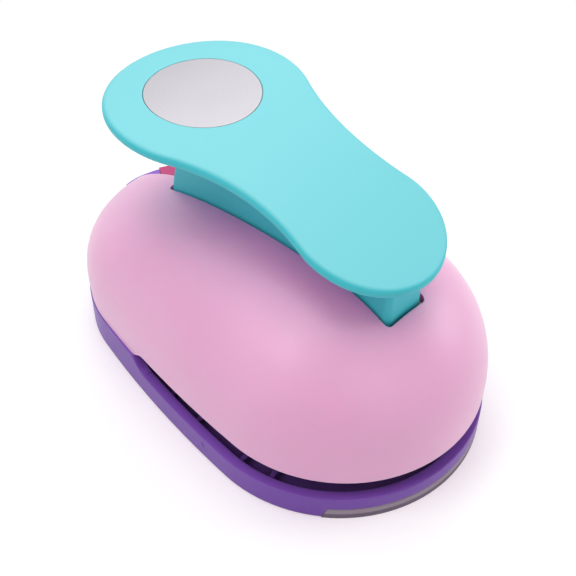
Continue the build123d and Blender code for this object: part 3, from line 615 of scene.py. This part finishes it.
# Zinc-plated sheet: pale grey with a faint rolled streak.
ZINC_SHEET = WorkedSteel(
    name="zinc_plated_sheet",
    colour="#c3c5c8",
    stain="#9fa2a6",
    roughness=0.36,
    mark_mm=1.6,
    stretch=(1.0, 0.2, 1.0),
)
# Ground and hardened tool steel: darker, with fine straight marks.
TOOL_STEEL = WorkedSteel(
    name="ground_tool_steel",
    colour="#b4b6ba",
    stain="#8c8f94",
    roughness=0.28,
    mark_mm=0.7,
    stretch=(0.15, 1.0, 1.0),
)
# Drawn spring wire: smooth with short streaks.
SPRING_WIRE = WorkedSteel(
    name="drawn_spring_wire",
    colour="#a6a8ac",
    stain="#808388",
    roughness=0.3,
    mark_mm=0.8,
    stretch=(1.0, 1.0, 0.3),
)
# Blackened screws: dark with a little sheen on the heads.
BLACK_SCREW = WorkedSteel(
    name="blackened_screw_steel",
    colour="#55585c",
    stain="#3a3c40",
    roughness=0.4,
    mark_mm=0.5,
)
# Spun and anodised disc in the palm pad: it mirrors the light above as an even pale silver.
SILVER = SatinDisc(
    name="anodised_aluminium_satin",
    colour="#9a989d",
    shade="#949297",
    roughness=0.45,
    ring_mm=0.25,
    centre_mm=(0.0, 27.4, 82.0),
)


@dataclass(frozen=True)
class Palette:
    """One built material for each real finish."""

    pink: bpy.types.Material
    turquoise: bpy.types.Material
    purple: bpy.types.Material
    grey: bpy.types.Material
    crimson: bpy.types.Material
    silver: bpy.types.Material
    sheet: bpy.types.Material
    steel: bpy.types.Material
    wire: bpy.types.Material
    black: bpy.types.Material


def dress(material: bpy.types.Material, *nodes: str) -> None:
    """Give CAD nodes a material.

    Args:
        material: The finish for all of each node.
        nodes: The nodes' names.
    """
    for node in nodes:
        mesh = FRAME["nodes"][node].data
        mesh.materials.clear()
        mesh.materials.append(material)
        LOG.info("%s is finished in %s", node, material.name)


def add_piece(
    name: str, mesh: bmesh.types.BMesh, material: bpy.types.Material, body: Body
) -> bpy.types.Object:
    """Turn a bmesh into a piece that rides on a body.

    Args:
        name: The piece's name.
        mesh: Its shape, in metres in the part's frame; it is freed here.
        material: Its finish.
        body: The CAD body that it moves with.

    Returns:
        The new piece.
    """
    data = bpy.data.meshes.new(name)
    bmesh.ops.recalc_face_normals(mesh, faces=mesh.faces)
    for face in mesh.faces:
        face.smooth = True
    mesh.to_mesh(data)
    mesh.free()
    data.materials.append(material)
    piece = bpy.data.objects.new(name, data)
    bpy.context.scene.collection.objects.link(piece)
    data.set_sharp_from_angle(angle=math.radians(SHARP_DEG))
    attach(piece, body.value)
    LOG.info("%s rides on %s", name, body.value)
    return piece


@dataclass(frozen=True)
class Base:
    """Purple tray with its gate mark, grey plate under it and the plate's screws."""

    gate_mm: Triple = (-42.29, -14.0, 4.8)
    gate_radius_mm: float = 0.75
    gate_taper: float = 0.9
    gate_proud_mm: float = 0.18
    gate_sunk_mm: float = 0.25
    gate_round_mm: float = 0.05
    gate_round_steps: int = 2
    gate_sides: int = 28

    def gate_mark(self, purple: bpy.types.Material) -> None:
        """Leave the low round nib where the plastic was fed into the tray's mould.

        Args:
            purple: The tray's finish.
        """
        outward = (self.gate_proud_mm - self.gate_sunk_mm) / 2
        middle = Vector(self.gate_mm) - Vector((outward, 0, 0))
        place = Matrix.Translation(middle * MM) @ Matrix.Rotation(-math.pi / 2, 4, "Y")
        nib = bmesh.new()
        bmesh.ops.create_cone(
            nib,
            cap_ends=True,
            segments=self.gate_sides,
            radius1=self.gate_radius_mm * MM,
            radius2=self.gate_radius_mm * self.gate_taper * MM,
            depth=(self.gate_proud_mm + self.gate_sunk_mm) * MM,
            matrix=place,
        )
        caps = [face for face in nib.faces if len(face.verts) == self.gate_sides]
        rim = [edge for edge in nib.edges if any(face in caps for face in edge.link_faces)]
        bmesh.ops.bevel(
            nib,
            geom=rim,
            offset=self.gate_round_mm * MM,
            segments=self.gate_round_steps,
            profile=0.5,
            affect="EDGES",
            material=-1,
        )
        add_piece("gate_mark", nib, purple, Body.FRAME)

    def build(self, palette: Palette) -> None:
        """Dress the tray, the plate and the screws, and add the gate mark.

        Args:
            palette: The built finishes.
        """
        dress(palette.purple, "base_shell")
        dress(palette.grey, "bottom_cover")
        dress(palette.black, "bottom_screws")
        self.gate_mark(palette.purple)


class Cover:
    """Pink domed cover with its screws."""

    def build(self, palette: Palette) -> None:
        """Dress the dome and the screws inside it."""
        dress(palette.pink, "top_cover")
        dress(palette.black, "cover_screws")


class PalmLever:
    """Turquoise lever with the silver disc, and the roller that it presses with."""

    def build(self, palette: Palette) -> None:
        """Dress the lever, its disc, the roller and its axle.

        Args:
            palette: The built finishes.
        """
        dress(palette.turquoise, "lever")
        dress(palette.silver, "lever_disc")
        dress(palette.steel, "press_roller", "roller_axle")


class DieSet:
    """Plates and pivot inside the body."""

    def build(self, palette: Palette) -> None:
        """Dress the inner works that stay still.

        Args:
            palette: The built finishes.
        """
        dress(palette.sheet, "die_plate", "throat_spacer", "guide_plate", "pivot_bracket")
        dress(palette.steel, "spring_posts", "pivot_pin")
        dress(palette.black, "frame_screws", "post_caps", "bracket_screws", "pin_clip")


@dataclass(frozen=True)
class ReturnSprings:
    """Two compression springs with closed end turns, which shorten as the punch goes down."""

    post_x_mm: float = 31.4
    post_y_mm: float = -26.2
    seat_mm: float = 14.8
    height_mm: float = 13.2
    stroke_mm: float = 5.145
    radius_mm: float = 2.9
    wire_mm: float = 0.5
    wire_sides: int = 12
    open_turns: int = 3
    closed_pitch_mm: float = 1.08
    steps: int = 28

    def coil(self, springs: bmesh.types.BMesh, x_mm: float) -> None:
        """Wind one spring round its post.

        Args:
            springs: The mesh that gets the wire.
            x_mm: The post's place across the body.
        """
        post = Vector((x_mm, self.post_y_mm, self.seat_mm + self.wire_mm))
        start = Matrix.Translation((post + Vector((self.radius_mm, 0, 0))) * MM)
        ring = bmesh.ops.create_circle(
            springs,
            segments=self.wire_sides,
            radius=self.wire_mm * MM,
            matrix=start @ Matrix.Rotation(math.pi / 2, 4, "X"),
        )["verts"]
        geometry: list[Any] = list(ring) + list({edge for vert in ring for edge in vert.link_edges})
        bmesh.ops.contextual_create(springs, geom=geometry)
        closed = (1, self.closed_pitch_mm)
        open_rise = self.height_mm - 2 * self.wire_mm - 2 * self.closed_pitch_mm
        for turns, rise in (closed, (self.open_turns, open_rise), closed):
            steps = self.steps * turns
            wound = bmesh.ops.spin(
                springs,
                geom=geometry,
                cent=post * MM,
                axis=(0, 0, 1),
                dvec=(0, 0, rise / steps * MM),
                angle=2 * math.pi * turns,
                steps=steps,
                use_duplicate=False,
            )
            geometry = [g for g in wound["geom_last"] if not isinstance(g, bmesh.types.BMFace)]
        bmesh.ops.contextual_create(springs, geom=geometry)

    def build(self, palette: Palette) -> None:
        """Wind both springs into one piece that rides on the frame, and hide the CAD springs.

        Args:
            palette: The built finishes.
        """
        springs = bmesh.new()
        for side in (-1, 1):
            self.coil(springs, side * self.post_x_mm)
        piece = add_piece(
            "wound_return_springs", springs, palette.wire, Body.FRAME
        )
        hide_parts("return_springs")
        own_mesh(piece)


class PunchHead:
    """Round punch with its pressure bar."""

    def build(self, palette: Palette) -> None:
        """Dress the punch, the bar and its screws.

        Args:
            palette: The built finishes.
        """
        dress(palette.steel, "punch_block")
        dress(palette.sheet, "pressure_bar")
        dress(palette.black, "bar_screws")


class StorageLock:
    """Purple housing at the rear with the crimson lock button."""

    def build(self, palette: Palette) -> None:
        """Dress the housing, its screws and the button.

        Args:
            palette: The built finishes.
        """
        dress(palette.purple, "lock_housing")
        dress(palette.black, "housing_screws")
        dress(palette.crimson, "lock_button")


@dataclass(frozen=True)
class Panel:
    """A square soft lamp that points at the object."""

    name: str
    place_m: Triple
    side_m: float
    watts: float

    AIM_M: ClassVar[Triple] = (0.0, 0.0, 0.04)

    def hang(self) -> None:
        """Put the lamp in its place."""
        data = bpy.data.lights.new(self.name, "AREA")
        data.size = self.side_m
        data.energy = self.watts
        lamp = bpy.data.objects.new(self.name, data)
        lamp.location = self.place_m
        lamp.rotation_mode = "QUATERNION"
        ray = Vector(self.AIM_M) - Vector(self.place_m)
        lamp.rotation_quaternion = ray.to_track_quat("-Z", "Y")
        bpy.context.scene.collection.objects.link(lamp)


@dataclass(frozen=True)
class Studio:
    """Camera, pale floor and soft light from above."""

    azimuth_deg: float = -44.665
    elevation_deg: float = 44.06
    distance_mm: float = 299.8
    focal_px: float = 1036.4
    image_px: float = 576.0
    aim_mm: Triple = (0.0, 0.0, 30.0)
    aim_px: Pair = (274.64, 280.73)
    sensor_mm: float = 36.0
    clip_m: Pair = (0.01, 50.0)
    ambient: float = 0.24
    floor_m: float = 6.0
    # The floor that lights the object from below.
    floor_paint: str = "#f2eef2"
    # The floor that is seen: a part that takes the shadow, and a glow that keeps the shadow pale.
    shadow_rgba: Rgba = (0.55, 0.70, 0.58, 1.0)
    glow_rgba: Rgba = (0.50, 0.34, 0.46, 1.0)
    # The distances from the middle where the shadow starts to fade and where it is gone.
    shadow_m: Pair = (0.07, 0.24)
    panels: tuple[Panel, ...] = (
        Panel("overhead_panel", place_m=(0.05, 0.15, 0.95), side_m=0.90, watts=5.1),
        Panel("rear_panel", place_m=(0.42, 0.46, 0.72), side_m=0.60, watts=2.0),
        Panel("left_panel", place_m=(-0.66, 0.26, 0.80), side_m=0.50, watts=2.9),
        Panel("right_panel", place_m=(0.78, -0.45, 0.40), side_m=0.50, watts=2.8),
        Panel("front_panel", place_m=(-0.30, -0.80, 0.62), side_m=0.60, watts=1.5),
    )

    def camera(self) -> None:
        """Place the camera at the viewing angle that was fitted to the outlines."""
        turn, rise = math.radians(self.azimuth_deg), math.radians(self.elevation_deg)
        level = math.cos(rise)
        back = Vector((math.sin(turn) * level, -math.cos(turn) * level, math.sin(rise)))
        data = bpy.data.cameras.new("camera")
        data.sensor_width = self.sensor_mm
        data.lens = self.focal_px / self.image_px * self.sensor_mm
        data.shift_x = (self.image_px / 2 - self.aim_px[0]) / self.image_px
        data.shift_y = (self.aim_px[1] - self.image_px / 2) / self.image_px
        data.clip_start, data.clip_end = self.clip_m
        camera = bpy.data.objects.new("camera", data)
        camera.location = Vector(self.aim_mm) * MM + back * self.distance_mm * MM
        camera.rotation_mode = "QUATERNION"
        camera.rotation_quaternion = (-back).to_track_quat("-Z", "Y")
        bpy.context.scene.collection.objects.link(camera)
        bpy.context.scene.camera = camera

    def background_rays(self, tree: bpy.types.NodeTree) -> bpy.types.NodeSocket:
        """Tell camera, glossy and transmission rays from the rays that light the object.

        Args:
            tree: The floor's or the world's node tree.

        Returns:
            A socket that is one for the rays that show the background.
        """
        path = add_node(tree, "LightPath")
        shown = path.outputs["Is Camera Ray"]
        for kind in ("Is Glossy Ray", "Is Transmission Ray"):
            links = {0: shown, 1: path.outputs[kind]}
            shown = add_node(tree, "Math", {"operation": "MAXIMUM"}, links).outputs[0]
        return shown

    def world(self) -> None:
        """Light the object with an even pale surround that the camera sees as white."""
        world = bpy.data.worlds.new("surround")
        world.use_nodes = True
        tree = world.node_tree
        tree.nodes.clear()
        shown = self.background_rays(tree)
        level = map_range(tree, shown, (0.0, 1.0), (self.ambient, 1.0))
        back = add_node(tree, "Background", {"Color": WHITE}, {"Strength": level})
        add_node(tree, "OutputWorld", {}, {"Surface": back.outputs["Background"]})
        bpy.context.scene.world = world

    def table(self) -> bpy.types.Material:
        """Make the floor's white: it keeps a soft shadow near the object and fades to plain white.

        Returns:
            The material.
        """
        material, tree = blank_material("white_table")
        shown = self.background_rays(tree)
        paint = add_node(tree, "BsdfDiffuse", {"Color": linear(self.floor_paint)})
        shadow = add_node(tree, "BsdfDiffuse", {"Color": self.shadow_rgba})
        glow = add_node(tree, "Emission", {"Color": self.glow_rgba, "Strength": 1.0})
        links = {0: shadow.outputs["BSDF"], 1: glow.outputs["Emission"]}
        near = add_node(tree, "AddShader", {}, links)
        white = add_node(tree, "Emission", {"Color": WHITE, "Strength": 1.0})
        place = add_node(tree, "TexCoord").outputs["Object"]
        reach = add_node(tree, "VectorMath", {"operation": "LENGTH"}, {0: place})
        far = map_range(tree, reach.outputs["Value"], self.shadow_m)
        links = {0: far, 1: near.outputs["Shader"], 2: white.outputs["Emission"]}
        faded = add_node(tree, "MixShader", {}, links)
        links = {0: shown, 1: paint.outputs["BSDF"], 2: faded.outputs["Shader"]}
        both = add_node(tree, "MixShader", {}, links)
        add_node(tree, "OutputMaterial", {}, {"Surface": both.outputs["Shader"]})
        return material

    def floor(self) -> None:
        """Lay the floor that the object stands on."""
        shape = bmesh.new()
        bmesh.ops.create_grid(shape, x_segments=1, y_segments=1, size=self.floor_m)
        data = bpy.data.meshes.new("floor")
        shape.to_mesh(data)
        shape.free()
        data.materials.append(self.table())
        floor = bpy.data.objects.new("floor", data)
        bpy.context.scene.collection.objects.link(floor)

    def build(self) -> None:
        """Set the view, the floor and the lamps."""
        bpy.context.scene.view_settings.view_transform = "Standard"
        self.camera()
        self.world()
        self.floor()
        for panel in self.panels:
            panel.hang()


def main() -> None:
    """Build the studio and dress every sub-assembly."""
    logging.basicConfig(level=logging.INFO, format="%(name)s: %(message)s")
    Studio().build()
    palette = Palette(
        pink=PINK.build(),
        turquoise=TURQUOISE.build(),
        purple=PURPLE.build(),
        grey=GREY.build(),
        crimson=CRIMSON.build(),
        silver=SILVER.build(),
        sheet=ZINC_SHEET.build(),
        steel=TOOL_STEEL.build(),
        wire=SPRING_WIRE.build(),
        black=BLACK_SCREW.build(),
    )
    for group in (Base, Cover, PalmLever, DieSet, ReturnSprings, PunchHead, StorageLock):
        group().build(palette)


if __name__ == "__main__":
    main()
